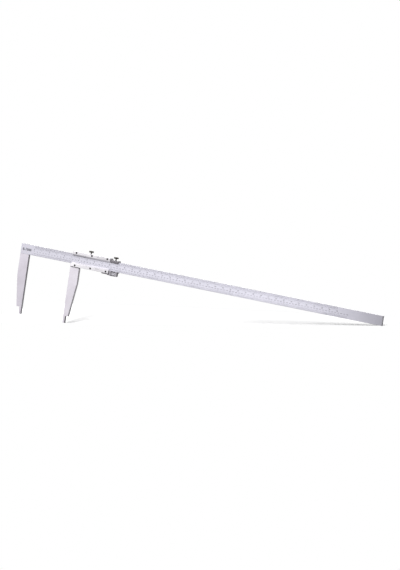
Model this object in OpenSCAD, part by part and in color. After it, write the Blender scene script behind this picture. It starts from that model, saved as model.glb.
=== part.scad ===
/* [Beam] */
// Length of the beam
beam_l = 1210; // [1150:5:1300]
// Width of the beam, between its two long edges
beam_w = 28.5; // [27:0.5:34]
// Thickness of the beam
beam_t = 8; // [7:0.5:10]
// Chamfer along the beam's long edges
beam_chamfer = 0.4; // [0.2:0.1:0.6]

/* [Jaws] */
// Length of both jaws, from the beam's lower edge to the tip
jaw_l = 170; // [150:5:200]
// Length of the nibs at the jaws' tips
nib_l = 20; // [14:1:26]
// Width of one nib, so that two closed nibs are twice this
nib_w = 7.5; // [7:0.5:12]
// Radius of a nib's rounded outer face
nib_r = 7.5; // [7:0.5:10]
// Width of the fixed jaw at the beam
fixed_root_w = 28.5; // [26:0.5:32]
// Width of the fixed jaw just above its nib
fixed_tip_w = 16.5; // [13:0.5:23]
// Length over which the fixed jaw keeps its full width
fixed_straight_l = 63; // [40:1:90]
// Width of the sliding jaw at the beam
slide_root_w = 29.5; // [26:0.5:34]
// Width of the sliding jaw just above its nib
slide_tip_w = 15; // [13:0.5:23]
// Length over which the sliding jaw keeps its full width
slide_straight_l = 53; // [40:1:90]
// Bore of the relief hole in the sliding jaw's inner corner
relief_d = 3.6; // [2:0.2:4]
// Height of the groove across the sliding jaw, under the cover plates
groove_h = 1.5; // [0.6:0.1:2]
// Depth of that groove
groove_depth = 0.6; // [0.3:0.1:1]
// Depth of the relief notch at the top of the measuring faces
notch_r = 0.8; // [0.4:0.1:1.2]
// Bore of the rivets that hold the fixed jaw
rivet_d = 5; // [3:0.5:7]
// Distance of the rivets from the jaw's and the beam's edges
rivet_inset = 7; // [5:0.5:9]
// Distance that the fixed jaw's tongue ends short of its measuring face
tongue_short = 1; // [0.5:0.1:2]

/* [Slider] */
// Opening between the two measuring faces as modelled
opening = 142; // [40:1:300]
// Length of the slider from its measuring face
slider_l = 129.5; // [120:0.5:150]
// Distance of the cover plates from the measuring face
plate_inset = 4; // [2:0.5:8]
// Distance that the lower cover plate ends before the slider does
metric_plate_short = 1; // [0.5:0.5:6]
// Height of the lower rail under the beam
low_rail_h = 8; // [7:0.5:10]
// Height of the top rail over the beam
top_rail_h = 7; // [6.5:0.5:10]
// Thickness of the two front cover plates
front_plate_t = 2.3; // [1.8:0.1:3]
// Thickness of the back plate
back_plate_t = 2.8; // [2:0.1:4]
// How far the front plates reach over the beam's face
plate_lap = 5.4; // [4:0.2:8]
// Height of the bevelled scale edge on the front plates
bevel_h = 4.2; // [2:0.2:4.6]
// Thickness left at the bevel's thin edge
bevel_tip = 0.4; // [0.2:0.1:0.8]
// Running clearance between the beam and what slides on it
run_gap = 0.1; // [0.05:0.01:0.15]
// Thickness of the gib strip
gib_t = 1.2; // [0.8:0.1:1.8]
// Length of each end of the top rail that traps the gib strip
gib_end = 3; // [2:0.5:6]

/* [Screws] */
// Thread of the plate screws
screw_d = 2.5; // [2:0.1:2.8]
// Head of the plate screws
screw_head_d = 4.8; // [3.6:0.1:5]
// Distance of the first plate screws from the measuring face
screw_inset = 15.5; // [10:0.5:18]
// Distance of the last plate screws from the slider's right end
screw_end_inset = 10; // [8:0.5:16]
// Height of the upper plate screws over the beam's upper edge
screw_up = 3.2; // [2.8:0.1:4.4]
// Depth of the lower plate screws under the beam's lower edge
screw_down = 3.8; // [2.8:0.1:5]
// Thread of the two gib set screws
set_screw_d = 3; // [2:0.5:3.5]
// Distance of the gib set screws from the lock screw
set_screw_reach = 34; // [20:1:44]

/* [Lock screws] */
// Thread of both lock screws
lock_d = 4; // [3:0.5:5]
// Head of both lock screws
lock_head_d = 13.5; // [11:0.5:17]
// Width of the raised edge round a head's dished top
dish_rim = 2.2; // [1.6:0.1:3]
// Depth of that dish
dish_depth = 0.6; // [0.3:0.1:1]
// Thickness of both lock screws' heads
lock_head_h = 4.2; // [3:0.2:6]
// Distance of the slider's lock screw from its measuring face
lock_x = 60.5; // [55:0.5:75]
// Height of the slider lock screw's head over the beam's upper edge
lock_head_z = 12; // [10.5:0.5:16]
// Height of the carriage lock screw's head over the beam's upper edge
clamp_head_z = 8.6; // [7:0.2:14]

/* [Fine adjustment] */
// Gap between the slider and the carriage
carriage_gap = 1.2; // [1:0.1:3]
// Length of the carriage
carriage_l = 26.5; // [26:0.5:38]
// Thickness of the carriage's top over the beam's upper edge
carriage_top = 3.4; // [3:0.1:5]
// How far the carriage's upper lip reaches over the beam's face
carriage_lap = 4.8; // [3:0.2:8]
// Length of the raised rib at the carriage's end
rib_l = 2.5; // [1.5:0.5:8]
// Height of that rib
rib_h = 2.4; // [0.6:0.1:3]
// How far that rib stands out of the carriage's front
rib_proud = 0.3; // [0.2:0.1:0.6]
// Distance of the clamp screw from the carriage's left end
clamp_x = 14.1; // [12:0.1:20]
// Bore of the pad under the clamp screw
pad_d = 6; // [5:0.5:7]
// Thickness of that pad
pad_t = 1.1; // [0.8:0.1:1.6]
// Thickness of the nut's yoke, front to back
yoke_t = 9.2; // [9:0.1:9.8]
// Wall of the yoke beside the slider
yoke_wall = 4.9; // [3:0.1:9]
// Wall of the yoke at the far side
yoke_far_wall = 4.2; // [2.5:0.1:11]
// Bar of the yoke under the nut
yoke_bar = 1.5; // [1.2:0.1:3]
// Height of the thin bar across the front, over the nut
front_bar_h = 1.2; // [1:0.1:3.6]
// Length of the fine adjustment nut
nut_l = 15.4; // [10:0.1:16]
// Outer size of the fine adjustment nut
nut_d = 9.8; // [9.6:0.1:11.6]
// Outer size of the smooth hub at each end of the nut
hub_d = 7.4; // [6.4:0.1:9]
// Length of one such hub
hub_l = 0.8; // [0.4:0.1:1.5]
// Thread of the fine adjustment spindle
spindle_d = 5; // [4:0.5:6]
// Depth of the spindle's axis under the beam's lower edge
spindle_z = 6.7; // [6.3:0.1:8]
// Length of the lug that holds the spindle
lug_l = 4.5; // [3.5:0.1:6]
// Length of the foot that is screwed under the slider
foot_l = 26; // [22:0.5:32]
// Thickness of that foot
foot_t = 3; // [1.8:0.1:3]
// Distance of the foot's screws from its ends
foot_screw_inset = 4; // [3:0.5:6]
// Depth of the foot's screws in the slider's lower rail
foot_screw_bite = 3.2; // [2:0.1:3.6]
// Depth of the lug under the spindle's axis
lug_drop = 5.7; // [4.5:0.1:6.5]
// Bore of the spindle's cross pin
pin_d = 1.6; // [1:0.1:2]

/* [Hidden] */
$fn = 48;

// Fits: a fixed pin or screw in its hole, a turning shaft in its bore, and a cut's overrun
fit = 0.02;
turn_gap = 0.05;
over = 1;

// Heights in the part's frame, whose origin is the middle of the fixed measuring face
low_edge = jaw_l / 2;
top_edge = low_edge + beam_w;
jaw_tip = low_edge - jaw_l;
nib_top = jaw_tip + nib_l;

// The slider's core is a little thicker than the beam, so the plates clear the beam's faces
core_t = beam_t + 2 * run_gap;
front_y = -core_t / 2 - front_plate_t;
back_y = core_t / 2 + back_plate_t;
rail_bottom = low_edge - low_rail_h;
rail_top = top_edge + top_rail_h;
rail_end = opening + slider_l - lug_l;
slider_end = opening + slider_l;
plate_start = opening + plate_inset;
gib_bottom = top_edge + run_gap;
gib_top = gib_bottom + gib_t;
pocket_top = gib_top + run_gap;

// Plate screws stop short of the lock screw between them
head_h = (screw_head_d - screw_d) / 2;
tip_clear = 0.4;
bite = core_t / 2 - lock_d / 2 - tip_clear;
front_screw_l = front_plate_t + bite;
back_screw_l = back_plate_t + bite;
screw_pitch = (slider_l - screw_inset - screw_end_inset) / 2;
screw_xs = [for (i = [0:2]) opening + screw_inset + i * screw_pitch];
upper_screw_z = top_edge + screw_up;
lower_screw_z = low_edge - screw_down;
slot_w = 0.6;
slot_depth = 0.45;

// Foot screws are placed from the foot's ends
foot_start = slider_end - foot_l;
foot_screw_l = foot_t + foot_screw_bite;
foot_screw_xs = [foot_start + foot_screw_inset, rail_end - foot_screw_inset];
foot_bottom = rail_bottom - foot_t;

// The carriage follows the slider with a gap
carriage_start = slider_end + carriage_gap;
clamp_screw_x = carriage_start + clamp_x;
carriage_top_z = top_edge + carriage_top;
spindle_axis = low_edge - spindle_z;
nut_gap = 0.1;
window_start = carriage_start + yoke_wall;
window_end = window_start + nut_l + 2 * nut_gap;
yoke_end = window_end + yoke_far_wall;
window_bottom = spindle_axis - nut_d / 2 - 0.2;
yoke_bottom = window_bottom - yoke_bar;
yoke_corner = 1.6;
lug_bottom = spindle_axis - lug_drop;
spindle_end = yoke_end - 0.5;
hole_gap = 0.1;
tie_h = 3;
low_lip = 0.6;
foot_chamfer = 1;

// Straight knurling
head_teeth = 40;
nut_teeth = 36;
knurl_depth = 0.4;
knurl_chamfer = 0.6;

// Draws a shape on the X-Z plane and gives it thickness from y0 to y1
module slab(y0, y1) {
    translate([0, y1, 0]) rotate([90, 0, 0]) linear_extrude(y1 - y0) children();
}

// Draws a section on the Y-Z plane and runs it along X from x0 to x1
module run_x(x0, x1) {
    translate([x0, 0, 0]) rotate([90, 0, 90]) linear_extrude(x1 - x0) children();
}

// Puts its children at a point with their own z axis turned along +Y
module facing_back(x, y, z) {
    translate([x, y, z]) rotate([-90, 0, 0]) children();
}

// Countersunk screw along its own z axis, its head's face at z = 0
module countersunk(l, gap) {
    cylinder(h = head_h, r1 = screw_head_d / 2 + gap, r2 = screw_d / 2 + gap);
    cylinder(h = l + gap, r = screw_d / 2 + gap);
}

// The same screw with a slot across its head, turned to an angle
module slotted_screw(l, angle) {
    difference() {
        countersunk(l, 0);
        rotate([0, 0, angle]) translate([-screw_head_d, -slot_w / 2, -over])
            cube([2 * screw_head_d, slot_w, slot_depth + over]);
    }
}

// Round bar with straight knurling and chamfered ends, standing on z = 0
module knurled(d, h, teeth) {
    inner_r = d / 2 - knurl_chamfer;
    outer_r = d / 2 + knurl_chamfer / 2;
    intersection() {
        linear_extrude(h) polygon([for (i = [0:2 * teeth - 1])
            let (r = i % 2 == 0 ? d / 2 : d / 2 - knurl_depth)
            [r * cos(i * 180 / teeth), r * sin(i * 180 / teeth)]]);
        rotate_extrude() polygon([[0, 0], [inner_r, 0], [outer_r, outer_r - inner_r],
            [outer_r, h - outer_r + inner_r], [inner_r, h], [0, h]]);
    }
}

// Thumb screw whose tip is at tip_z and whose head starts at head_z
module thumb_screw(x, tip_z, head_z) {
    neck_h = 0.7;
    translate([x, 0, tip_z]) cylinder(h = head_z - tip_z + over, r = lock_d / 2);
    translate([x, 0, head_z - neck_h]) cylinder(h = neck_h, r1 = lock_d / 2, r2 = lock_d / 2 + neck_h);
    difference() {
        translate([x, 0, head_z]) knurled(lock_head_d, lock_head_h, head_teeth);
        translate([x, 0, head_z + lock_head_h - dish_depth])
            cylinder(h = over, r = lock_head_d / 2 - dish_rim);
    }
}

// Nib of a jaw, from its flat measuring side at x = 0 to its round side at x = nib_w
module nib(t) {
    intersection() {
        translate([0, -t / 2, jaw_tip]) cube([nib_w, t, nib_l]);
        translate([nib_w - nib_r, 0, jaw_tip]) cylinder(h = nib_l, r = nib_r);
    }
}

// Outline of a jaw from the beam's edge to the nib, drawn to the right of x = 0
module blade_outline(root_w, tip_w, straight_l, top) {
    polygon([[0, nib_top], [tip_w, nib_top], [root_w, low_edge - straight_l], [root_w, top], [0, top]]);
}

module rivet_places() {
    for (x = [rivet_inset - fixed_root_w, -rivet_inset],
         z = [low_edge + rivet_inset, top_edge - rivet_inset])
        translate([x, 0, z]) rotate([90, 0, 0]) children();
}

// Long bar with the scales on its front, and a half lap for the fixed jaw at its left end
module beam() {
    c = beam_chamfer;
    h = beam_t / 2;
    color("lavender") difference() {
        run_x(-fixed_root_w, beam_l - fixed_root_w) polygon([
            [-h, low_edge + c], [-h + c, low_edge], [h - c, low_edge], [h, low_edge + c],
            [h, top_edge - c], [h - c, top_edge], [-h + c, top_edge], [-h, top_edge - c]]);
        translate([-fixed_root_w - over, 0, low_edge - over])
            cube([fixed_root_w + over - tongue_short, beam_t, beam_w + 2 * over]);
        rivet_places() cylinder(h = beam_t + over, r = rivet_d / 2 + fit, center = true);
    }
}

// Jaw with a tongue that fills the beam's half lap
module fixed_jaw() {
    color("gainsboro") difference() {
        union() {
            mirror([1, 0, 0]) {
                slab(-beam_t / 2, beam_t / 2)
                    blade_outline(fixed_root_w, fixed_tip_w, fixed_straight_l, low_edge);
                nib(beam_t);
            }
            translate([-fixed_root_w, 0, low_edge - over])
                cube([fixed_root_w - tongue_short, beam_t / 2, beam_w + over]);
        }
        facing_back(0, -beam_t, low_edge - notch_r) cylinder(h = beam_t, r = notch_r);
        rivet_places() cylinder(h = beam_t + over, r = rivet_d / 2 + fit, center = true);
    }
}

// Four flush rivets through the lap
module fixed_jaw_rivets() {
    color("silver") rivet_places() cylinder(h = beam_t, r = rivet_d / 2, center = true);
}

// Jaw and lower rail in one piece
module sliding_jaw() {
    color("whitesmoke") difference() {
        union() {
            translate([opening, 0, 0]) {
                slab(-core_t / 2, core_t / 2)
                    blade_outline(slide_root_w, slide_tip_w, slide_straight_l, low_edge - run_gap);
                nib(core_t);
            }
            translate([opening, -core_t / 2, rail_bottom])
                cube([rail_end - opening, core_t, low_rail_h - run_gap]);
        }
        facing_back(opening + slide_root_w, -core_t, rail_bottom - relief_d / 3)
            cylinder(h = 2 * core_t, r = relief_d / 2);
        for (y = [-core_t / 2 - over, core_t / 2 - groove_depth])
            translate([opening - over, y, rail_bottom - groove_h])
                cube([slide_root_w + 2 * over, groove_depth + over, groove_h]);
        for (x = screw_xs) {
            facing_back(x, front_y, lower_screw_z) countersunk(front_screw_l, fit);
            facing_back(x, back_y, lower_screw_z) mirror([0, 0, 1]) countersunk(back_screw_l, fit);
        }
        for (x = foot_screw_xs) translate([x, 0, foot_bottom]) countersunk(foot_screw_l, fit);
    }
}

// Rail over the beam, with a pocket that traps the gib strip
module slider_top_rail() {
    color("whitesmoke") difference() {
        translate([plate_start, -core_t / 2, gib_bottom])
            cube([slider_end - plate_start, core_t, rail_top - gib_bottom]);
        translate([plate_start + gib_end, -core_t, gib_bottom - over])
            cube([slider_end - plate_start - 2 * gib_end, 2 * core_t, pocket_top - gib_bottom + over]);
        translate([opening + lock_x, 0, gib_bottom]) cylinder(h = 2 * top_rail_h, r = lock_d / 2 + turn_gap);
        for (side = [-1, 1]) translate([opening + lock_x + side * set_screw_reach, 0, gib_bottom])
            cylinder(h = 2 * top_rail_h, r = set_screw_d / 2 + fit);
        for (x = screw_xs) {
            facing_back(x, front_y, upper_screw_z) countersunk(front_screw_l, fit);
            facing_back(x, back_y, upper_screw_z) mirror([0, 0, 1]) countersunk(back_screw_l, fit);
        }
    }
}

// Plate behind the beam that ties both rails together
module slider_back_plate() {
    c = beam_chamfer;
    y0 = core_t / 2;
    color("gainsboro") difference() {
        run_x(plate_start, slider_end) polygon([[y0, rail_bottom], [back_y - c, rail_bottom],
            [back_y, rail_bottom + c], [back_y, rail_top - c], [back_y - c, rail_top], [y0, rail_top]]);
        for (x = screw_xs, z = [lower_screw_z, upper_screw_z])
            facing_back(x, back_y, z) mirror([0, 0, 1]) countersunk(back_screw_l, fit);
    }
}

// Front plate section, with its bevelled edge over the beam at z = 0 and its outer edge at z = h
module front_plate_section(h) {
    c = beam_chamfer;
    y0 = -core_t / 2;
    polygon([[y0, 0], [y0, h], [front_y + c, h], [front_y, h - c], [front_y, bevel_h], [y0 - bevel_tip, 0]]);
}

// Upper front plate, which carries the inch vernier on its lower bevel
module inch_vernier_plate() {
    color("white") difference() {
        translate([0, 0, top_edge - plate_lap]) run_x(plate_start, slider_end)
            front_plate_section(plate_lap + top_rail_h);
        for (x = screw_xs) facing_back(x, front_y, upper_screw_z) countersunk(front_screw_l, fit);
    }
}

// Lower front plate, which carries the millimetre vernier on its upper bevel
module metric_vernier_plate() {
    color("white") difference() {
        translate([0, 0, low_edge + plate_lap]) mirror([0, 0, 1])
            run_x(plate_start, slider_end - metric_plate_short)
            front_plate_section(plate_lap + low_rail_h);
        for (x = screw_xs) facing_back(x, front_y, lower_screw_z) countersunk(front_screw_l, fit);
    }
}

// Three screws of one front plate
module front_screws(z) {
    for (i = [0:2]) facing_back(screw_xs[i], front_y, z) slotted_screw(front_screw_l, 25 + 50 * i);
}

module upper_plate_screws() {
    color("dimgray") front_screws(upper_screw_z);
}

module lower_plate_screws() {
    color("dimgray") front_screws(lower_screw_z);
}

// Six screws of the back plate
module back_plate_screws() {
    color("dimgray") for (i = [0:2], z = [lower_screw_z, upper_screw_z])
        facing_back(screw_xs[i], back_y, z) mirror([0, 0, 1]) slotted_screw(back_screw_l, 10 + 35 * i);
}

// Bronze strip between the beam's upper edge and the top rail
module slider_gib() {
    translate([plate_start + gib_end + run_gap, -beam_t / 2, gib_bottom])
        color("peru") cube([slider_end - plate_start - 2 * gib_end - 2 * run_gap, beam_t, gib_t]);
}

// Two slotted grub screws that set the gib strip
module gib_set_screws() {
    tip = gib_top + run_gap;
    color("dimgray") for (side = [-1, 1]) translate([opening + lock_x + side * set_screw_reach, 0, 0])
        difference() {
            translate([0, 0, tip]) cylinder(h = rail_top - run_gap - tip, r = set_screw_d / 2);
            translate([-set_screw_d, -slot_w / 2, rail_top - slot_depth - run_gap])
                cube([2 * set_screw_d, slot_w, over]);
        }
}

// Knurled screw that locks the slider on the beam through the gib strip
module slider_lock_screw() {
    color("dimgray") thumb_screw(opening + lock_x, gib_top + run_gap, top_edge + lock_head_z);
}

// Foot under the slider's lower rail with a lug that holds the spindle
module spindle_bracket() {
    color("gray") difference() {
        slab(-core_t / 2, core_t / 2) polygon([[foot_start, rail_bottom], [foot_start + foot_t, foot_bottom],
            [rail_end - foot_chamfer, foot_bottom], [rail_end, lug_bottom], [slider_end, lug_bottom],
            [slider_end, low_edge - run_gap], [rail_end, low_edge - run_gap], [rail_end, rail_bottom]]);
        translate([rail_end - over, 0, spindle_axis]) rotate([0, 90, 0])
            cylinder(h = lug_l + 2 * over, r = spindle_d / 2 + fit);
        translate([rail_end + lug_l / 2, 0, lug_bottom - over])
            cylinder(h = spindle_axis + spindle_d / 2 + over - lug_bottom + over, r = pin_d / 2 + fit);
        for (x = foot_screw_xs) translate([x, 0, foot_bottom]) countersunk(foot_screw_l, fit);
    }
}

// Two screws that hold the bracket from below
module bracket_screws() {
    color("dimgray") for (x = foot_screw_xs) translate([x, 0, foot_bottom]) slotted_screw(foot_screw_l, 70);
}

// Threaded rod that stands still in the bracket
module fine_adjust_spindle() {
    tip = 0.6;
    color("silver") difference() {
        translate([rail_end, 0, spindle_axis]) rotate([0, 90, 0]) {
            cylinder(h = spindle_end - rail_end - tip, r = spindle_d / 2);
            translate([0, 0, spindle_end - rail_end - tip])
                cylinder(h = tip, r1 = spindle_d / 2, r2 = spindle_d / 2 - tip);
        }
        translate([rail_end + lug_l / 2, 0, lug_bottom - over])
            cylinder(h = spindle_z + jaw_l, r = pin_d / 2 + fit);
    }
}

// Pin across the lug and the spindle
module spindle_pin() {
    color("dimgray") translate([rail_end + lug_l / 2, 0, lug_bottom])
        cylinder(h = spindle_axis + spindle_d / 2 + over - lug_bottom, r = pin_d / 2);
}

// Knurled nut that turns in the yoke's window and runs on the spindle
module fine_adjust_nut() {
    color("silver") difference() {
        translate([window_start + nut_gap, 0, spindle_axis]) rotate([0, 90, 0]) {
            cylinder(h = nut_l, r = hub_d / 2);
            translate([0, 0, hub_l]) knurled(nut_d, nut_l - 2 * hub_l, nut_teeth);
        }
        translate([window_start, 0, spindle_axis]) rotate([0, 90, 0])
            cylinder(h = nut_l + 2 * over, r = spindle_d / 2 + turn_gap);
    }
}

// C-shaped section of the carriage round the beam's back, top and front
module carriage_section() {
    c = beam_chamfer;
    y0 = core_t / 2;
    lip = top_edge - carriage_lap;
    polygon([[front_y + c, carriage_top_z], [back_y - c, carriage_top_z], [back_y, carriage_top_z - c],
        [back_y, low_edge - tie_h], [y0, low_edge - tie_h], [y0, gib_bottom], [-y0, gib_bottom],
        [-y0, lip], [-y0 - bevel_tip, lip], [front_y, lip + front_plate_t], [front_y, carriage_top_z - c]]);
}

// Window frame under the beam, in which the nut turns
module yoke() {
    top = low_edge - run_gap;
    slab(-yoke_t / 2, yoke_t / 2) difference() {
        polygon([[carriage_start, top], [carriage_start, yoke_bottom + yoke_corner],
            [carriage_start + yoke_corner, yoke_bottom], [yoke_end - yoke_corner, yoke_bottom],
            [yoke_end, yoke_bottom + yoke_corner], [yoke_end, top]]);
        translate([window_start, window_bottom])
            square([window_end - window_start, low_edge - window_bottom]);
    }
    translate([carriage_start, -yoke_t / 2, low_edge - front_bar_h])
        cube([yoke_end - carriage_start, (yoke_t - core_t) / 2, front_bar_h + low_lip]);
}

// Carriage that is clamped on the beam while the nut moves the slider
module carriage_body() {
    color("darkgray") difference() {
        union() {
            run_x(carriage_start, carriage_start + carriage_l) carriage_section();
            translate([carriage_start, front_y, carriage_top_z - over])
                cube([rib_l, core_t / 2 - front_y, rib_h + over]);
            translate([carriage_start, front_y - rib_proud, top_edge - carriage_lap + front_plate_t])
                cube([rib_l, rib_proud + over, carriage_lap - front_plate_t + carriage_top + rib_h]);
            yoke();
        }
        translate([clamp_screw_x, 0, top_edge]) {
            cylinder(h = 2 * carriage_top, r = lock_d / 2 + turn_gap);
            cylinder(h = run_gap + pad_t + run_gap, r = pad_d / 2 + hole_gap);
        }
        translate([carriage_start - over, 0, spindle_axis]) rotate([0, 90, 0])
            cylinder(h = carriage_l + 2 * over, r = spindle_d / 2 + hole_gap);
    }
}

// Brass pad between the clamp screw and the beam's upper edge
module carriage_clamp_pad() {
    color("goldenrod") translate([clamp_screw_x, 0, top_edge + run_gap]) cylinder(h = pad_t, r = pad_d / 2);
}

// Knurled screw that clamps the carriage on the beam
module carriage_lock_screw() {
    tip_z = top_edge + run_gap + pad_t + run_gap;
    color("dimgray") thumb_screw(clamp_screw_x, tip_z, top_edge + clamp_head_z);
}

beam();
fixed_jaw();
fixed_jaw_rivets();
sliding_jaw();
slider_top_rail();
slider_back_plate();
inch_vernier_plate();
metric_vernier_plate();
upper_plate_screws();
lower_plate_screws();
back_plate_screws();
slider_gib();
gib_set_screws();
slider_lock_screw();
spindle_bracket();
bracket_screws();
fine_adjust_spindle();
spindle_pin();
fine_adjust_nut();
carriage_body();
carriage_clamp_pad();
carriage_lock_screw();
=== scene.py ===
import math

import bpy
from mathutils import Matrix, Vector


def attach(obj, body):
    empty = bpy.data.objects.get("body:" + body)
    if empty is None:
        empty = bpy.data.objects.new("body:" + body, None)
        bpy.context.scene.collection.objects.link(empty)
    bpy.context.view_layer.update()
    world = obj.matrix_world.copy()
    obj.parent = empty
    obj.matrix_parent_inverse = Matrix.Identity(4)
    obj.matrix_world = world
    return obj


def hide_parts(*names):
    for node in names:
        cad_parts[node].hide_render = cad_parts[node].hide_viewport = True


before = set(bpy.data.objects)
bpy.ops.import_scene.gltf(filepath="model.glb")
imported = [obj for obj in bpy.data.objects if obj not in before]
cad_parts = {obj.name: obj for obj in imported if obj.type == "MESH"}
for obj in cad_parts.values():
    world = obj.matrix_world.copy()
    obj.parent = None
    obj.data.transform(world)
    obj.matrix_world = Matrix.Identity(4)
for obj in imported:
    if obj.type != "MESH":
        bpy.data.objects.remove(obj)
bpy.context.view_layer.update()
mm = 0.001
print("frame loaded,", len(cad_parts), "nodes")


def srgb(red, green, blue):  # a colour as it looks on screen, 0 to 255
    values = [v / 255 for v in (red, green, blue)]
    return [v / 12.92 if v <= 0.04045 else ((v + 0.055) / 1.055) ** 2.4 for v in values] + [1.0]


# the camera of the photo, with the caliper leaning on a jaw tip and on the beam's far end
photoView = {
    "yaw": 31.769, "pitch": 0.194, "roll": 0.328, "lean": 9.3766,  # degrees
    "target": (574 * mm, -4 * mm, 97 * mm), "aside": 1.03 * mm, "up": -0.34 * mm,
    "distance": 50.0, "clip": (1, 60), "lens": 1124.1, "sensor": 36,
}


def leaned(v):  # a vector of the leaning room, turned into the caliper's own axes
    lean = math.radians(photoView["lean"])
    along = v[0] * math.cos(lean) - v[2] * math.sin(lean)
    upright = v[0] * math.sin(lean) + v[2] * math.cos(lean)
    return Vector((along, v[1], upright))


yaw, pitch, roll = (math.radians(photoView[k]) for k in ("yaw", "pitch", "roll"))
lookAlong = Vector((-math.sin(yaw) * math.cos(pitch), math.cos(yaw) * math.cos(pitch), -math.sin(pitch)))
levelRight = Vector((math.cos(yaw), math.sin(yaw), 0))
levelUp = levelRight.cross(lookAlong)
camRight = leaned(levelRight * math.cos(roll) + levelUp * math.sin(roll))
camUp = leaned(levelUp * math.cos(roll) - levelRight * math.sin(roll))
camBack = leaned(-lookAlong)

bpy.ops.object.camera_add()
camera = bpy.context.object
camera.name = "camera"
camera.data.lens = photoView["lens"]
camera.data.sensor_width = photoView["sensor"]
camera.data.clip_start, camera.data.clip_end = photoView["clip"]
place = Vector(photoView["target"]) + camRight * photoView["aside"] + camUp * photoView["up"]
place += camBack * photoView["distance"]
turn = Matrix((camRight, camUp, camBack)).transposed()
camera.matrix_world = Matrix.Translation(place) @ turn.to_4x4()
bpy.context.scene.camera = camera
print("camera placed")

# one wide soft lamp at the upper left front, and a weak fill from behind
studio = {
    "lampFrom": (-0.40, 0.80, 0.44), "lampPower": 4.45, "lampSize": 62,  # right, up, back of the camera
    "fillFrom": (-0.45, 0.75, 0.48), "fillPower": 1.0, "fillSize": 40,  # along the caliper's axes
    "ambient": 0.12,
}


def addSun(name, direction, power, size):
    bpy.ops.object.light_add(type="SUN")
    sun = bpy.context.object
    sun.name = name
    sun.data.energy = power
    sun.data.angle = math.radians(size)
    sun.rotation_euler = Vector(direction).to_track_quat("Z", "Y").to_euler()
    return sun


lampFrom = studio["lampFrom"]
addSun("softLamp", camRight * lampFrom[0] + camUp * lampFrom[1] + camBack * lampFrom[2],
       studio["lampPower"], studio["lampSize"])
fillLamp = addSun("fillLamp", studio["fillFrom"], studio["fillPower"], studio["fillSize"])
fillLamp.data.use_shadow = False


def addNode(tree, kind, **inputs):
    node = tree.nodes.new("ShaderNode" + kind)
    for key, value in inputs.items():
        node.inputs[key].default_value = value
    return node


def largerOf(tree, first, second):
    larger = addNode(tree, "Math")
    larger.operation = "MAXIMUM"
    tree.links.new(first, larger.inputs[0])
    tree.links.new(second, larger.inputs[1])
    return larger.outputs[0]


def levelsAlong(tree, coords, stops, axis="X"):
    # a level that changes slowly along one axis of the object, from places in millimetres and their levels
    first, last = stops[0][0], stops[-1][0]
    split = addNode(tree, "SeparateXYZ")
    place = addNode(tree, "MapRange", **{"From Min": first * mm, "From Max": last * mm})
    ramp = addNode(tree, "ValToRGB")
    marks = ramp.color_ramp.elements
    for at, level in stops:
        share = (at - first) / (last - first)
        mark = marks[0] if at == first else marks[-1] if at == last else marks.new(share)
        mark.position = share
        mark.color = (level, level, level, 1)
    tree.links.new(coords.outputs["Object"], split.inputs["Vector"])
    tree.links.new(split.outputs[axis], place.inputs["Value"])
    tree.links.new(place.outputs["Result"], ramp.inputs["Fac"])
    return ramp.outputs["Color"]


# a world that is white to the eye and in reflections, and gives only a little light
world = bpy.context.scene.world or bpy.data.worlds.new("studio")
bpy.context.scene.world = world
world.use_nodes = True
room = world.node_tree
room.nodes.clear()
paths = addNode(room, "LightPath")
dim = addNode(room, "Background", Color=(1, 1, 1, 1), Strength=studio["ambient"])
white = addNode(room, "Background", Color=(1, 1, 1, 1), Strength=1)
backdrop, worldOut = addNode(room, "MixShader"), addNode(room, "OutputWorld")
seen = largerOf(room, paths.outputs["Is Camera Ray"], paths.outputs["Is Glossy Ray"])
room.links.new(largerOf(room, seen, paths.outputs["Is Transmission Ray"]), backdrop.inputs[0])
room.links.new(dim.outputs[0], backdrop.inputs[1])
room.links.new(white.outputs[0], backdrop.inputs[2])
room.links.new(backdrop.outputs[0], worldOut.inputs["Surface"])
bpy.context.scene.view_settings.view_transform = "Standard"

# the floor stays under the sliding jaw's nib, so it follows the slider and never hides a jaw
floorLook = {
    "foot": (150, -4, -85), "left": -300, "right": 1050, "front": 12, "back": 360, "backRight": 130,
    "lower": 1.2, "tilt": 9.0, "cuts": 3,  # millimetres and degrees
    "bounce": 0.1, "roughness": 0.9, "specular": 0.1,
    # painted light: the floor is paler away from the caliper's two feet, so that shadows show near them only
    "levels": [(-30, 1), (-10, 0.76), (8, 0.76), (38, 0.9), (400, 0.9), (600, 0.76)],
}
tilt = math.radians(floorLook["tilt"])
floorAlong = leaned(Vector((1, 0, 0)))
floorUp = leaned(Vector((0, -math.sin(tilt), math.cos(tilt))))
floorDeep = floorUp.cross(floorAlong)
bpy.ops.mesh.primitive_plane_add(size=2)
floor = bpy.context.object
floor.name = "floor"
for corner in floor.data.vertices:
    atRight, atBack = corner.co.x > 0, corner.co.y > 0
    backEdge = floorLook["backRight"] if atRight else floorLook["back"]
    corner.co.x = (floorLook["right"] if atRight else floorLook["left"]) * mm
    corner.co.y = (backEdge if atBack else floorLook["front"]) * mm
bpy.ops.object.mode_set(mode="EDIT")
bpy.ops.mesh.subdivide(number_cuts=floorLook["cuts"])
bpy.ops.object.mode_set(mode="OBJECT")
foot = (Vector(floorLook["foot"]) - floorUp * floorLook["lower"]) * mm
floor.matrix_world = Matrix.Translation(foot) @ Matrix((floorAlong, floorDeep, floorUp)).transposed().to_4x4()
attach(floor, "slider")
paper = bpy.data.materials.new("floorPaper")
paper.use_nodes = True
sheet = paper.node_tree
paperShader = sheet.nodes["Principled BSDF"]
paperShader.inputs["Roughness"].default_value = floorLook["roughness"]
paperShader.inputs["Specular IOR Level"].default_value = floorLook["specular"]
paperPaths, paperTone = addNode(sheet, "LightPath"), addNode(sheet, "Mix")
paperTone.data_type = "RGBA"
paperTone.inputs["A"].default_value = [floorLook["bounce"]] * 3 + [1]
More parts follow.
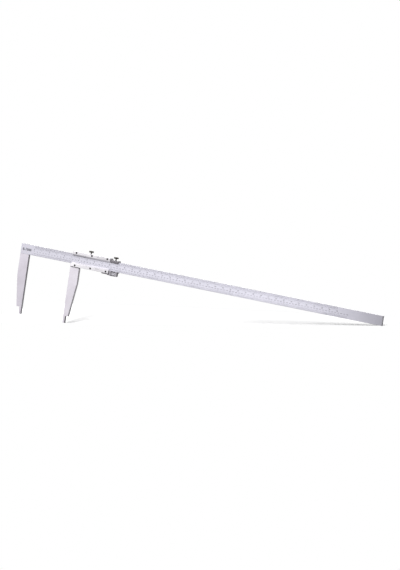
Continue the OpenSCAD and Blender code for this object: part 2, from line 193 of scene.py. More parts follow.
paperSeen = largerOf(sheet, paperPaths.outputs["Is Camera Ray"], paperPaths.outputs["Is Glossy Ray"])
sheet.links.new(paperSeen, paperTone.inputs["Factor"])
sheet.links.new(levelsAlong(sheet, addNode(sheet, "TexCoord"), floorLook["levels"]), paperTone.inputs["B"])
sheet.links.new(paperTone.outputs["Result"], paperShader.inputs["Base Color"])
floor.data.materials.append(paper)
print("studio ready")


# the spans of the noise that are stretched to full contrast, and how uneven and deep the grain is
grainLook = {"span": {"From Min": 0.3, "From Max": 0.7}, "driftSpan": (0.32, 0.68), "driftScale": 28,
             "unevenness": 0.06, "depth": 0.02 * mm}


def metalFinish(name, look):
    # long fine grain over a slow drift of tone, with roughness and bump from the same grain
    material = bpy.data.materials.new(name)
    material.use_nodes = True
    tree = material.node_tree
    link = tree.links.new
    shader = tree.nodes["Principled BSDF"]
    shader.inputs["Metallic"].default_value = look["metallic"]
    coords = addNode(tree, "TexCoord")
    stretch = addNode(tree, "Mapping", Scale=look["grain"])
    grain = addNode(tree, "TexNoise", Scale=1, Detail=4, Roughness=0.6)
    drift = addNode(tree, "TexNoise", Scale=grainLook["driftScale"], Detail=3, Roughness=0.55)
    link(coords.outputs["Object"], stretch.inputs["Vector"])
    link(stretch.outputs["Vector"], grain.inputs["Vector"])
    link(coords.outputs["Object"], drift.inputs["Vector"])
    tone = addNode(tree, "ValToRGB")
    marks = tone.color_ramp.elements
    marks[0].position, marks[1].position = grainLook["driftSpan"]
    marks[0].color, marks[1].color = srgb(*look["shade"]), srgb(*look["tint"])
    link(drift.outputs["Fac"], tone.inputs["Fac"])
    streaks = addNode(tree, "MapRange", **grainLook["span"], **{"To Min": 1 - look["streak"], "To Max": 1})
    link(grain.outputs["Fac"], streaks.inputs["Value"])
    mixed = addNode(tree, "VectorMath")
    mixed.operation = "SCALE"
    link(tone.outputs["Color"], mixed.inputs[0])
    link(streaks.outputs["Result"], mixed.inputs["Scale"])
    # painted light and shade along one axis, for the finishes that have it
    if "paintedLightAlong" in look:
        faded = addNode(tree, "VectorMath")
        faded.operation = "MULTIPLY"
        link(mixed.outputs["Vector"], faded.inputs[0])
        link(levelsAlong(tree, coords, look["paintedLightAlong"], look.get("toneAxis", "X")), faded.inputs[1])
        mixed = faded
    link(mixed.outputs["Vector"], shader.inputs["Base Color"])
    low, high = look["roughness"] - grainLook["unevenness"], look["roughness"] + grainLook["unevenness"]
    rough = addNode(tree, "MapRange", **grainLook["span"], **{"To Min": low, "To Max": high})
    link(grain.outputs["Fac"], rough.inputs["Value"])
    link(rough.outputs["Result"], shader.inputs["Roughness"])
    bump = addNode(tree, "Bump", Strength=look["bump"], Distance=grainLook["depth"])
    link(grain.outputs["Fac"], bump.inputs["Height"])
    link(bump.outputs["Normal"], shader.inputs["Normal"])
    return material


alongBeam, alongJaw, turned = (45, 5200, 5200), (5200, 5200, 60), (1400, 1400, 1400)
finishLooks = {
    "beamChrome": {"shade": (231, 229, 242), "tint": (240, 238, 251), "grain": alongBeam, "streak": 0.05,
                   "metallic": 0.12, "roughness": 0.42, "bump": 0.25,
                   # painted light and shade along the beam: darker at its left end, much darker towards its
                   # far end
                   "paintedLightAlong": [(-30, 0.84), (150, 0.86), (250, 0.93), (620, 0.98), (820, 0.99), (950, 0.90),
                                 (1095, 0.65), (1182, 0.45)]},
    # painted shade: both jaws' chromes darken towards their tips
    "jawChrome": {"shade": (217, 211, 221), "tint": (229, 223, 234), "grain": alongJaw, "streak": 0.05,
                  "metallic": 0.12, "roughness": 0.42, "bump": 0.25,
                  "toneAxis": "Z", "paintedLightAlong": [(-85, 0.86), (0, 0.9), (85, 1.0)]},
    "slideChrome": {"shade": (229, 223, 233), "tint": (241, 236, 245), "grain": alongJaw, "streak": 0.05,
                    "metallic": 0.12, "roughness": 0.42, "bump": 0.25,
                    "toneAxis": "Z", "paintedLightAlong": [(-85, 0.85), (85, 1.0)]},
    "plateChrome": {"shade": (235, 232, 237), "tint": (246, 243, 248), "grain": alongBeam, "streak": 0.04,
                    "metallic": 0.12, "roughness": 0.46, "bump": 0.2,
                    # painted shade: darker towards the carriage
                    "paintedLightAlong": [(142, 1.0), (200, 0.97), (272, 0.82)]},
    # painted light and shade: a darker copy of the plates' chrome for the upper bevel, which faces down,
    # darker at its left and lighter towards the carriage
    "paintedShadeBevel": {"shade": (194, 191, 201), "tint": (208, 205, 215), "grain": alongBeam, "streak": 0.06,
                    "metallic": 0.12, "roughness": 0.4, "bump": 0.2,
                    "paintedLightAlong": [(142, 0.8), (210, 0.95), (272, 1.15)]},
    # painted shade: a darker copy of the plates' chrome for the lower bevel, which faces up into the lamp
    "paintedShadeLowBevel": {"shade": (191, 188, 197), "tint": (201, 198, 207), "grain": alongBeam, "streak": 0.05,
                 "metallic": 0.12, "roughness": 0.42, "bump": 0.2},
    # darker steel of the broken edges and the beam's narrow faces, also painted as shade on the plates'
    # chamfers that face the lamp
    "edgeSteelAndShade": {"shade": (168, 166, 174), "tint": (188, 186, 194), "grain": alongBeam, "streak": 0.12,
                  "metallic": 0.3, "roughness": 0.3, "bump": 0.2},
    # the lapped measuring faces, darkened with painted shade and dark reflection; also painted on the nibs'
    # ends that turn away from the lamp
    "lappedAndShadedFace": {"shade": (118, 115, 121), "tint": (138, 135, 141), "grain": alongJaw, "streak": 0.06,
                   "metallic": 0.35, "roughness": 0.16, "bump": 0.1},
    # painted shade on faces that turn away from the lamp
    "shadedSide": {"shade": (170, 166, 172), "tint": (186, 182, 188), "grain": alongJaw, "streak": 0.08,
                  "metallic": 0.3, "roughness": 0.24, "bump": 0.15},
    # painted shade: near black grey for recesses, gaps, the shadow under overhangs and the beam's upper front
    # chamfer
    "paintedShadeSteel": {"shade": (66, 64, 68), "tint": (88, 86, 90), "grain": turned, "streak": 0.12,
                   "metallic": 0.2, "roughness": 0.5, "bump": 0.3},
    # the screws' black oxide, also used for the painted shadow rings around their heads
    "blackOxideAndShadow": {"shade": (12, 12, 13), "tint": (24, 23, 25), "grain": turned, "streak": 0.2,
                   "metallic": 0.0, "roughness": 0.5, "bump": 0.3},
    "darkNickel": {"shade": (46, 43, 37), "tint": (62, 59, 52), "grain": turned, "streak": 0.15,
                   "metallic": 0.15, "roughness": 0.42, "bump": 0.3},
    "carriageSteel": {"shade": (118, 114, 120), "tint": (136, 132, 138), "grain": alongBeam, "streak": 0.12,
                      "metallic": 0.3, "roughness": 0.4, "bump": 0.3},
    "ribSteel": {"shade": (98, 95, 99), "tint": (118, 115, 119), "grain": alongBeam, "streak": 0.12,
                 "metallic": 0.2, "roughness": 0.48, "bump": 0.3},
    # painted light: a lighter copy of the carriage's steel for its front walls
    "paintedLightWall": {"shade": (164, 161, 167), "tint": (184, 181, 187), "grain": alongBeam, "streak": 0.1,
                  "metallic": 0.2, "roughness": 0.4, "bump": 0.3},
    "springBronze": {"shade": (176, 128, 78), "tint": (202, 154, 98), "grain": alongBeam, "streak": 0.12,
                     "metallic": 0.7, "roughness": 0.35, "bump": 0.3},
    "threadSteel": {"shade": (150, 148, 154), "tint": (186, 184, 190), "grain": turned, "streak": 0.15,
                    "metallic": 0.6, "roughness": 0.32, "bump": 0.3},
    "nutNickel": {"shade": (176, 174, 180), "tint": (198, 196, 202), "grain": turned, "streak": 0.1,
                  "metallic": 0.3, "roughness": 0.3, "bump": 0.2},
}
finishes = {name: metalFinish(name, look) for name, look in finishLooks.items()}


def inkFinish(name, look):
    # black filling of the engraved lines, a little worn and uneven
    material = bpy.data.materials.new(name)
    material.use_nodes = True
    tree = material.node_tree
    shader = tree.nodes["Principled BSDF"]
    shader.inputs["Roughness"].default_value = look["roughness"]
    coords = addNode(tree, "TexCoord")
    wear = addNode(tree, "TexNoise", Scale=look["wearScale"], Detail=3)
    tone = addNode(tree, "ValToRGB")
    tone.color_ramp.elements[0].color = srgb(*look["dark"])
    tone.color_ramp.elements[1].color = srgb(*look["worn"])
    tree.links.new(coords.outputs["Object"], wear.inputs["Vector"])
    tree.links.new(wear.outputs["Fac"], tone.inputs["Fac"])
    tree.links.new(tone.outputs["Color"], shader.inputs["Base Color"])
    return material


inkLook = {"dark": (30, 30, 36), "worn": (104, 102, 112), "wearScale": 240, "roughness": 0.6}
lineInk = inkFinish("lineInk", inkLook)
print(len(finishes) + 1, "finishes mixed")


def pickOnly(*pieces):
    bpy.ops.object.select_all(action="DESELECT")
    for piece in pieces:
        piece.select_set(True)
    bpy.context.view_layer.objects.active = pieces[0]


def settle(piece, name):  # moves a piece's place into its mesh
    pickOnly(piece)
    bpy.ops.object.transform_apply(location=True, rotation=True, scale=True)
    piece.name = name
    piece.data.name = name
    return piece


def joinUp(pieces, name):
    pickOnly(*pieces)
    if len(pieces) > 1:
        bpy.ops.object.join()
    return settle(bpy.context.object, name)


def applyAll(piece):
    pickOnly(piece)
    for modifier in list(piece.modifiers):
        bpy.ops.object.modifier_apply(modifier=modifier.name)


def finishPiece(piece, material, body):
    piece.data.materials.clear()
    piece.data.materials.append(material)
    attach(piece, body)
    return piece


# in millimetres and degrees: points closer than merge become one, edges under flat go, and those over sharp
# are broken
softening = {"merge": 0.002, "flat": 0.4, "sharp": 32, "segments": 2, "smooth": 28}


def softEdged(node, name, look):
    # a copy of a CAD solid with its sharp edges broken, as a maker's stone leaves them
    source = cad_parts[node]
    piece = bpy.data.objects.new(name, source.data.copy())
    bpy.context.scene.collection.objects.link(piece)
    pickOnly(piece)
    bpy.ops.object.mode_set(mode="EDIT")
    bpy.ops.mesh.select_all(action="SELECT")
    bpy.ops.mesh.remove_doubles(threshold=softening["merge"] * mm)
    bpy.ops.mesh.dissolve_limited(angle_limit=math.radians(softening["flat"]))
    bpy.ops.object.mode_set(mode="OBJECT")
    for attribute in ("custom_normal", "sharp_edge"):
        if attribute in piece.data.attributes:
            piece.data.attributes.remove(piece.data.attributes[attribute])
    if "reshape" in look:
        look["reshape"](piece)
    piece.data.materials.clear()
    piece.data.materials.append(finishes[look["finish"]])
    piece.data.materials.append(finishes[look["edge"]])
    rounding = piece.modifiers.new("rounding", "BEVEL")
    rounding.limit_method = "ANGLE"
    rounding.angle_limit = math.radians(softening["sharp"])
    rounding.width = look["width"] * mm
    rounding.segments = softening["segments"]
    rounding.material = 1
    applyAll(piece)
    bpy.ops.object.shade_smooth_by_angle(angle=math.radians(softening["smooth"]))
    level = piece.modifiers.new("levelFaces", "WEIGHTED_NORMAL")  # keeps the wide faces flat to the light
    level.keep_sharp = True
    applyAll(piece)
    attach(piece, look["body"])
    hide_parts(node)
    return piece


# shares of a face's normal along an axis, 1 where the face looks straight along it
straight, mostly, halfway, rounded, slanted, barely = 0.98, 0.9, 0.5, 0.4, 0.3, 0.2


def paintFaces(piece, finish, wanted):  # gives the faces that pass a test a finish of their own
    piece.data.materials.append(finishes[finish])
    last = len(piece.data.materials) - 1
    for face in piece.data.polygons:
        if wanted(face.center / mm, face.normal):
            face.material_index = last


# the nut's window and the lock screws' shanks, in millimetres, and how slim the shanks become
windowLook = {"start": 277.65, "end": 293.15, "lowest": 82.0, "highest": 85.5}
shankLook = {"slider": 202.5, "carriage": 286.8, "reach": 2.1, "slimmer": 0.88}


def cutWindowFace(piece):
    # splits the block's front face at the window's ends, so that its walls and bars can have their own finish
    pickOnly(piece)
    bpy.ops.object.mode_set(mode="EDIT")
    for at in (windowLook["start"], windowLook["end"]):
        bpy.ops.mesh.select_all(action="SELECT")
        bpy.ops.mesh.bisect(plane_co=(at * mm, 0, 0), plane_no=(1, 0, 0))
    bpy.ops.object.mode_set(mode="OBJECT")


def slimShank(axisX):
    # the thread's core is slimmer than the solid's shank
    def shape(piece):
        for vertex in piece.data.vertices:
            aside = vertex.co.x - axisX * mm
            if math.hypot(aside, vertex.co.y) < shankLook["reach"] * mm:
                vertex.co.x = axisX * mm + aside * shankLook["slimmer"]
                vertex.co.y *= shankLook["slimmer"]
    return shape


# each piece of solid metal: its finish, the finish of its broken edges, and their width in millimetres
solids = {
    "beam": {"name": "beam_bar", "finish": "beamChrome", "edge": "edgeSteelAndShade", "width": 0.15,
             "slot": "beam", "body": "beam"},
    "fixed_jaw": {"name": "fixed_jaw_blade", "finish": "jawChrome", "edge": "jawChrome", "width": 0.25,
                  "slot": "jaws", "body": "beam"},
    "sliding_jaw": {"name": "sliding_jaw_blade", "finish": "slideChrome", "edge": "slideChrome",
                    "width": 0.25, "slot": "jaws", "body": "slider"},
    "slider_top_rail": {"name": "top_rail", "finish": "plateChrome", "edge": "plateChrome", "width": 0.15,
                        "slot": "slider", "body": "slider"},
    "slider_back_plate": {"name": "back_plate", "finish": "plateChrome", "edge": "plateChrome", "width": 0.15,
                          "slot": "slider", "body": "slider"},
    "inch_vernier_plate": {"name": "inch_plate", "finish": "plateChrome", "edge": "plateChrome", "width": 0.1,
                           "slot": "vernier_plates", "body": "slider"},
    "metric_vernier_plate": {"name": "millimetre_plate", "finish": "plateChrome", "edge": "plateChrome",
                             "width": 0.1, "slot": "vernier_plates", "body": "slider"},
    "upper_plate_screws": {"name": "upper_screws", "finish": "blackOxideAndShadow", "edge": "blackOxideAndShadow",
                           "width": 0.08, "slot": "dark_screws", "body": "slider"},
    "lower_plate_screws": {"name": "lower_screws", "finish": "blackOxideAndShadow", "edge": "blackOxideAndShadow",
                           "width": 0.08, "slot": "dark_screws", "body": "slider"},
    "back_plate_screws": {"name": "back_screws", "finish": "blackOxideAndShadow", "edge": "blackOxideAndShadow", "width": 0.08,
                          "slot": "dark_screws", "body": "slider"},
    "spindle_bracket": {"name": "spindle_foot", "finish": "carriageSteel", "edge": "edgeSteelAndShade", "width": 0.2,
                        "slot": "carriage", "body": "slider"},
    "slider_lock_screw": {"name": "slider_thumb_screw", "finish": "darkNickel", "edge": "darkNickel",
                          "width": 0.1, "slot": "lock_screws", "body": "slider_lock",
                          "reshape": slimShank(shankLook["slider"])},
    "carriage_lock_screw": {"name": "carriage_thumb_screw", "finish": "darkNickel", "edge": "darkNickel",
                            "width": 0.1, "slot": "lock_screws", "body": "carriage_lock",
                            "reshape": slimShank(shankLook["carriage"])},
    "fine_adjust_nut": {"name": "knurled_nut", "finish": "nutNickel", "edge": "nutNickel", "width": 0.08,
                        "slot": "nut", "body": "nut"},
    "carriage_body": {"name": "carriage_block", "finish": "carriageSteel", "edge": "edgeSteelAndShade", "width": 0.2,
                      "slot": "carriage", "body": "carriage", "reshape": cutWindowFace},
}
pieces = {node: softEdged(node, look["name"], look) for node, look in solids.items()}
for piece in pieces.values():
    print(" ", piece.name, len(piece.data.polygons), "faces")

# where one finish of a piece ends and another starts, in millimetres
parting = {
    "fixedFace": -0.5, "fixedNib": (-9, -6), "slidingFace": 142.5, "slidingNib": 147.5, "slidingOuter": 148,
    "nibTop": -65, "jawTop": 74, "halfThickness": 4.15,
    "groove": {"x": (142, 172), "z": (75.4, 77.05), "deepest": 3.4},
    "relief": {"x": 171.5, "z": 75.8, "radius": 1.9},
    "plateFront": -6.4, "plateTop": 119.8, "plateBottom": 79,
    "ribFront": -6.5, "ribTop": 117.2, "footTop": 77.1, "lugStart": 266,
}


def between(value, ends):
    return ends[0] < value < ends[1]


def inGroove(place):  # the groove across the sliding jaw, under the cover plates
    groove = parting["groove"]
    return between(place.x, groove["x"]) and between(place.z, groove["z"]) and (
        groove["deepest"] < abs(place.y) < parting["halfThickness"])


def inRelief(place):  # the bore in the corner between the jaw and its rail
    bore = parting["relief"]
    near = math.hypot(place.x - bore["x"], place.z - bore["z"]) < bore["radius"]
    return near and abs(place.y) < parting["halfThickness"]


def alongWindow(place):
    return windowLook["start"] < place.x < windowLook["end"]


def inWindowBar(place):  # the thin bar over the nut
    return alongWindow(place) and place.y < -parting["halfThickness"] and (
        windowLook["lowest"] < place.z < windowLook["highest"])


def onPlateEdge(place, normal):  # the top and bottom chamfers of the vernier plates
    return barely < abs(normal.z) < straight and place.y > parting["plateFront"] and not (
        parting["plateBottom"] <= place.z <= parting["plateTop"])


# later rows go over earlier ones
paints = [
    # painted shade and dark reflection on the lapped measuring faces and on the nibs' ends
    ("fixed_jaw", "lappedAndShadedFace", lambda place, normal: normal.x > straight and place.x > parting["fixedFace"]),
    ("sliding_jaw", "lappedAndShadedFace", lambda place, normal: (
        normal.x < -straight and place.x < parting["slidingFace"])),
    ("fixed_jaw", "lappedAndShadedFace", lambda place, normal: (
        between(place.x, parting["fixedNib"]) and place.z < parting["nibTop"])),
    ("sliding_jaw", "lappedAndShadedFace", lambda place, normal: (
        normal.x > rounded and place.x > parting["slidingNib"] and place.z < parting["nibTop"])),
    # painted shade in the groove under the cover plates and in the corner bore
    ("sliding_jaw", "paintedShadeSteel", lambda place, normal: inGroove(place) or inRelief(place)),
    # painted shade on the sliding jaw's outer side
    ("sliding_jaw", "shadedSide", lambda place, normal: (
        normal.x > mostly and place.x > parting["slidingOuter"]
        and between(place.z, (parting["nibTop"], parting["jawTop"])))),
    ("beam", "edgeSteelAndShade", lambda place, normal: abs(normal.y) < mostly),
    # painted shade and dark reflection on the beam's upper and lower front chamfers
    ("beam", "paintedShadeSteel", lambda place, normal: normal.y < -slanted and normal.z > slanted),
    ("beam", "shadedSide", lambda place, normal: normal.y < -slanted and normal.z < -slanted),
    # painted shade on the plates' top and bottom chamfers, which face the lamp
    ("inch_vernier_plate", "edgeSteelAndShade", onPlateEdge),
    ("metric_vernier_plate", "edgeSteelAndShade", onPlateEdge),
    # painted shade on both vernier bevels
    ("inch_vernier_plate", "paintedShadeBevel", lambda place, normal: normal.z < -slanted and normal.y < -halfway),
    ("metric_vernier_plate", "paintedShadeLowBevel", lambda place, normal: normal.z > slanted and normal.y < -halfway),
    ("carriage_body", "ribSteel", lambda place, normal: (
        place.y < parting["ribFront"] or place.z > parting["ribTop"])),
    # painted shadow on the bar over the nut, under the beam
    ("carriage_body", "paintedShadeSteel", lambda place, normal: inWindowBar(place)),
    # painted light on the carriage's front walls
    ("carriage_body", "paintedLightWall", lambda place, normal: (
        normal.y < -straight and place.z < windowLook["highest"] and not alongWindow(place))),
    # painted shade on the bracket's foot, under the plates
    ("spindle_bracket", "paintedShadeSteel", lambda place, normal: (
        place.z < parting["footTop"] and place.x < parting["lugStart"])),
]
for node, finish, wanted in paints:
    paintFaces(pieces[node], finish, wanted)
print(len(pieces), "solids dressed")

# a thin dark ring of painted shadow in the plates' face around each screw head, in millimetres
ringLook = {"along": (157.5, 209.5, 261.5), "heights": (116.7, 81.2), "face": -6.4,
            "outer": 2.9, "inner": 2.35, "proud": 0.02, "deep": 0.1}
rings = []
for along in ringLook["along"]:
    for height in ringLook["heights"]:
        bpy.ops.mesh.primitive_circle_add(vertices=40, radius=ringLook["outer"] * mm, fill_type="NGON",
                                          rotation=(math.radians(90), 0, 0))
        ring = bpy.context.object
        bpy.ops.object.transform_apply(location=False, rotation=True, scale=False)
        bpy.ops.object.mode_set(mode="EDIT")
        bpy.ops.mesh.select_all(action="SELECT")
        bpy.ops.mesh.inset(thickness=(ringLook["outer"] - ringLook["inner"]) * mm)
        bpy.ops.mesh.delete(type="FACE")
        bpy.ops.mesh.select_all(action="SELECT")
        bpy.ops.mesh.extrude_region_move(TRANSFORM_OT_translate={"value": (0, ringLook["deep"] * mm, 0)})
        bpy.ops.mesh.select_all(action="SELECT")
        bpy.ops.mesh.normals_make_consistent(inside=False)
        bpy.ops.object.mode_set(mode="OBJECT")
        ring.location = Vector((along, ringLook["face"] - ringLook["proud"], height)) * mm
        rings.append(ring)
finishPiece(joinUp(rings, "screw_seat_shadows"), finishes["blackOxideAndShadow"], "slider")
print("screw seats ringed")

# CAD nodes that keep their shape, with their finishes
plainNodes = {
    "fixed_jaw_rivets": "jawChrome", "slider_gib": "springBronze", "gib_set_screws": "blackOxideAndShadow",
    "bracket_screws": "blackOxideAndShadow", "spindle_pin": "blackOxideAndShadow", "carriage_clamp_pad": "springBronze",
}
for node, finish in plainNodes.items():
    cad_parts[node].data.materials.clear()
    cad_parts[node].data.materials.append(finishes[finish])


# a share of the pitch, millimetres, and steps in a turn
ridgeShape = {"halfBase": 0.42, "sunk": 0.05, "steps": 24}


def threadRidge(look):
    # a triangular wire wound along +Z, which is turned to its screw afterwards
    bpy.ops.mesh.primitive_circle_add(vertices=3, radius=look["pitch"] * mm, fill_type="NOTHING",
                                      rotation=(math.radians(90), 0, 0))
    ridge = bpy.context.object
    bpy.ops.object.transform_apply(location=False, rotation=True, scale=False)
    halfBase = ridgeShape["halfBase"] * look["pitch"] * mm
    sunk = look["root"] - ridgeShape["sunk"]
    for vertex in ridge.data.vertices:  # one corner out at the crest, two in at the root
        if vertex.co.z == max(v.co.z for v in ridge.data.vertices):
            vertex.co = Vector((look["crest"] * mm, 0, 0))
        else:
            vertex.co = Vector((sunk * mm, 0, math.copysign(halfBase, vertex.co.x)))
    turns = look["length"] / look["pitch"] - 1
    winding = ridge.modifiers.new("winding", "SCREW")
    winding.axis = "Z"
    winding.angle = math.radians(360) * turns
    winding.screw_offset = turns * look["pitch"] * mm
    winding.steps = winding.render_steps = int(ridgeShape["steps"] * turns)
    winding.use_merge_vertices = False
    applyAll(ridge)
    bpy.ops.object.mode_set(mode="EDIT")
    bpy.ops.mesh.select_mode(type="EDGE")
    bpy.ops.mesh.select_all(action="DESELECT")
    bpy.ops.mesh.select_non_manifold()
    bpy.ops.mesh.edge_face_add()
    bpy.ops.mesh.select_all(action="SELECT")
    bpy.ops.mesh.normals_make_consistent(inside=False)
    bpy.ops.object.mode_set(mode="OBJECT")
    ridge.rotation_euler = look["turn"]
    ridge.location = Vector(look["start"]) * mm
    return ridge


lockThread = {"crest": 1.98, "root": 1.6, "pitch": 0.7, "turn": (0, 0, 0)}
screwThreads = {
    "slider_thread": {"start": (shankLook["slider"], 0, 120.7), "length": 3.2, "body": "slider_lock"},
    "carriage_thread": {"start": (shankLook["carriage"], 0, 117.1), "length": 3.4, "body": "carriage_lock"},
}
for name, look in screwThreads.items():
    ridge = threadRidge({**look, **lockThread})
    finishPiece(settle(ridge, name), finishes["darkNickel"], look["body"])

# the spindle: a plain end, a core as thick as the thread's root, and a blunt point
spindleLook = {"start": (267, 0, 78.3), "length": 29.9, "plain": 4.5, "point": 0.6, "pointShare": 0.7,
               "full": 2.5, "root": 2.1, "smooth": 30, "turn": (0, math.radians(90), 0)}
spindleThread = {"start": (271.9, 0, 78.3), "length": 24.1, "pitch": 0.8, "crest": spindleLook["full"],
                 "root": spindleLook["root"], "turn": spindleLook["turn"]}
plain = spindleLook["plain"] * mm
bpy.ops.mesh.primitive_cylinder_add(vertices=48, radius=spindleLook["full"] * mm, depth=plain,
                                    location=(0, 0, plain / 2))
spindleCore = bpy.context.object
bpy.ops.object.transform_apply(location=True, rotation=False, scale=False)
bpy.ops.object.mode_set(mode="EDIT")
bpy.ops.mesh.select_mode(type="FACE")
bpy.ops.mesh.select_all(action="DESELECT")
bpy.ops.object.mode_set(mode="OBJECT")
for face in spindleCore.data.polygons:
    face.select = face.normal.z > mostly
bpy.ops.object.mode_set(mode="EDIT")
bpy.ops.mesh.inset(thickness=(spindleLook["full"] - spindleLook["root"]) * mm)
coreLength = spindleLook["length"] - spindleLook["plain"] - spindleLook["point"]
for reach in (coreLength, spindleLook["point"]):
    bpy.ops.mesh.extrude_region_move(TRANSFORM_OT_translate={"value": (0, 0, reach * mm)})
bpy.ops.transform.resize(value=(spindleLook["pointShare"], spindleLook["pointShare"], 1))
bpy.ops.object.mode_set(mode="OBJECT")
spindleCore.rotation_euler = spindleLook["turn"]
spindleCore.location = Vector(spindleLook["start"]) * mm
spindleRidge = threadRidge(spindleThread)
spindle = joinUp([spindleCore, spindleRidge], "threaded_spindle")
bpy.ops.object.shade_smooth_by_angle(angle=math.radians(spindleLook["smooth"]))
finishPiece(spindle, finishes["threadSteel"], "slider")
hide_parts("fine_adjust_spindle")
print("threads wound")


# engraved lines and numerals in millimetres, with shares for a line's front face and for a capital's height
lineLook = {"deep": 0.08, "frontShare": (0.8, 1, 0.99)}
letterLook = {"capShare": 0.7, "raised": 0.03, "merge": 0.001}


def lineRow(look, count, step):
    # one slim engraved line, its front face a little narrower, repeated along the beam
    size = Vector((look["width"], lineLook["deep"], look["top"] - look["bottom"])) * mm
    bpy.ops.mesh.primitive_cube_add(size=1, scale=size)
    line = bpy.context.object
    bpy.ops.object.transform_apply(location=False, rotation=False, scale=True)
    bpy.ops.object.mode_set(mode="EDIT")
    bpy.ops.mesh.select_mode(type="FACE")
    bpy.ops.mesh.select_all(action="DESELECT")
    bpy.ops.object.mode_set(mode="OBJECT")
    for face in line.data.polygons:
        face.select = face.normal.y < -mostly
    bpy.ops.object.mode_set(mode="EDIT")
    bpy.ops.transform.resize(value=lineLook["frontShare"])
    bpy.ops.object.mode_set(mode="OBJECT")
    line.rotation_euler = (look.get("tilt", 0), 0, 0)
    line.location = Vector((look["start"], look["depth"], look["middle"])) * mm
    bpy.ops.object.transform_apply(location=True, rotation=True, scale=False)
    if count > 1:
        row = line.modifiers.new("row", "ARRAY")
        row.count = count
        row.use_relative_offset = False
        row.use_constant_offset = True
        row.constant_offset_displace = (step * mm, 0, 0)
        applyAll(line)
    return line


def numberRow(labels, look):
    made = []
    for label, x in labels:
        bpy.ops.object.text_add(location=(x * mm, look["depth"] * mm, look["bottom"] * mm),
                                rotation=(math.radians(90), 0, 0))
        word = bpy.context.object
        word.data.body = label
        word.data.size = look["height"] / letterLook["capShare"] * mm
        word.data.align_x = "CENTER"
        word.data.extrude = letterLook["raised"] * mm
        word.data.offset = look.get("bold", 0) * mm
        word.data.space_character = look.get("spread", 1)
        word.data.resolution_u = 2
        made.append(word)
    pickOnly(*made)
    bpy.ops.object.convert(target="MESH")
    piece = joinUp(list(bpy.context.selected_objects), "numbers")
    bpy.ops.object.mode_set(mode="EDIT")
    bpy.ops.mesh.select_all(action="SELECT")
    bpy.ops.mesh.remove_doubles(threshold=letterLook["merge"] * mm)
    bpy.ops.object.mode_set(mode="OBJECT")
    return piece


# the beam's scales, in millimetres: each set of longer lines goes on where the shorter ones end. A row says
# where its lines end, how many millimetres lie between them or how many there are in an inch, and their width
inch = 25.4
scale = {
    "zero": 16, "face": -4.0, "millimetres": 1050, "inches": 40,
    "mmFoot": 85.5, "mmRows": [(92.4, 1, 0.12), (93.4, 5, 0.12), (94.6, 10, 0.12)],
    "inchTop": 113.0, "inchRows": [(106.3, 40, 0.11), (105.3, 10, 0.11), (104.1, 1, 0.15)],
    "mmNumbers": {"depth": -4.0, "bottom": 95.4, "height": 2.5},
    "tenthNumbers": {"depth": -4.0, "bottom": 103.5, "height": 1.4},
    "inchNumbers": {"depth": -4.0, "bottom": 100.1, "height": 3.4, "bold": 0.06},
}


def flatRow(bottom, top, width, count, step):
    return lineRow({"start": scale["zero"], "bottom": bottom, "top": top, "middle": (bottom + top) / 2,
                    "width": width, "depth": scale["face"]}, count, step)


mmParts, reached = [], scale["mmFoot"]
for end, every, width in scale["mmRows"]:
    mmParts.append(flatRow(reached, end, width, scale["millimetres"] // every + 1, every))
    reached = end
centimetres = [(str(10 * i), scale["zero"] + 10 * i) for i in range(scale["millimetres"] // 10 + 1)]
mmParts.append(numberRow(centimetres, scale["mmNumbers"]))
mmScale = joinUp(mmParts, "millimetre_scale")
finishPiece(mmScale, lineInk, "beam")

inchParts, reached = [], scale["inchTop"]
for end, perInch, width in scale["inchRows"]:
    inchParts.append(flatRow(end, reached, width, scale["inches"] * perInch + 1, inch / perInch))
    reached = end
tenths = [(str(i % 10), scale["zero"] + i * inch / 10) for i in range(scale["inches"] * 10) if i % 10]
inchParts.append(numberRow(tenths, scale["tenthNumbers"]))
wholeInches = [(str(i), scale["zero"] + i * inch) for i in range(scale["inches"] + 1)]
inchParts.append(numberRow(wholeInches, scale["inchNumbers"]))
inchScale = joinUp(inchParts, "inch_scale")
finishPiece(inchScale, lineInk, "beam")
print("beam scales cut:", len(mmScale.data.polygons) + len(inchScale.data.polygons), "faces")

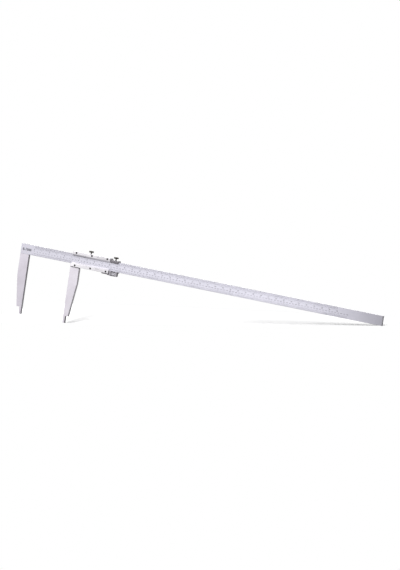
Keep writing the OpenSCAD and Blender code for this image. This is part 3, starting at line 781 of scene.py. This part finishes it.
# the verniers on the plates' bevels: 50 parts over 49 millimetres, and 25 parts over 1.225 inches
bevel = {"tilt": math.atan2(1.9, 4.2),  # the bevels' depth and height
         "tipDepth": -4.5, "start": 0.05, "short": 2.4, "long": 3.6, "width": 0.13}
verniers = {
    "millimetre_vernier": {
        "edge": 90.4, "outward": -1, "count": 50, "step": 0.98,
        "labels": [str(i % 10) for i in range(11)], "numbers": {"depth": -6.4, "bottom": 83.9, "height": 1.9},
        "reading": "0.02 mm", "readingLook": {"depth": -6.4, "bottom": 82.6, "height": 2.2},
    },
    "inch_vernier": {
        "edge": 108.1, "outward": 1, "count": 25, "step": 1.225 * inch / 25,
        "labels": [str(5 * i) for i in range(6)], "numbers": {"depth": -6.4, "bottom": 112.6, "height": 1.8},
        "reading": "0.001 in", "readingLook": {"depth": -6.4, "bottom": 114.9, "height": 2.2},
    },
}
vernierPlaces = {"zero": 158, "reading": 232, "longEvery": 5}


def bevelRow(near, far, look, count, step):
    # near and far are distances along the bevel from its thin edge
    middle = (near + far) / 2
    return lineRow({"start": vernierPlaces["zero"], "bottom": near, "top": far, "width": bevel["width"],
                    "tilt": look["outward"] * bevel["tilt"],
                    "middle": look["edge"] + look["outward"] * middle * math.cos(bevel["tilt"]),
                    "depth": bevel["tipDepth"] - middle * math.sin(bevel["tilt"])}, count, step)


for name, look in verniers.items():
    every = vernierPlaces["longEvery"]
    labels = [(label, vernierPlaces["zero"] + every * i * look["step"])
              for i, label in enumerate(look["labels"])]
    parts = [
        bevelRow(bevel["start"], bevel["short"], look, look["count"] + 1, look["step"]),
        bevelRow(bevel["short"], bevel["long"], look, look["count"] // every + 1, every * look["step"]),
        numberRow(labels, look["numbers"]),
        numberRow([(look["reading"], vernierPlaces["reading"])], look["readingLook"]),
    ]
    finishPiece(joinUp(parts, name), lineInk, "slider")

# the plain range and units at the beam's left end
plainMarks = {
    "0-1000": {"along": -8.2, "depth": -4.0, "bottom": 95.6, "height": 6.4, "bold": 0.45, "spread": 1.12},
    "mm": {"along": 10.5, "depth": -4.0, "bottom": 87.0, "height": 2.2},
    "in": {"along": 10.5, "depth": -4.0, "bottom": 108.1, "height": 2.2},
}
marks = joinUp([numberRow([(word, look["along"])], look) for word, look in plainMarks.items()], "range_mark")
finishPiece(marks, lineInk, "beam")
print("verniers and plain marks cut")
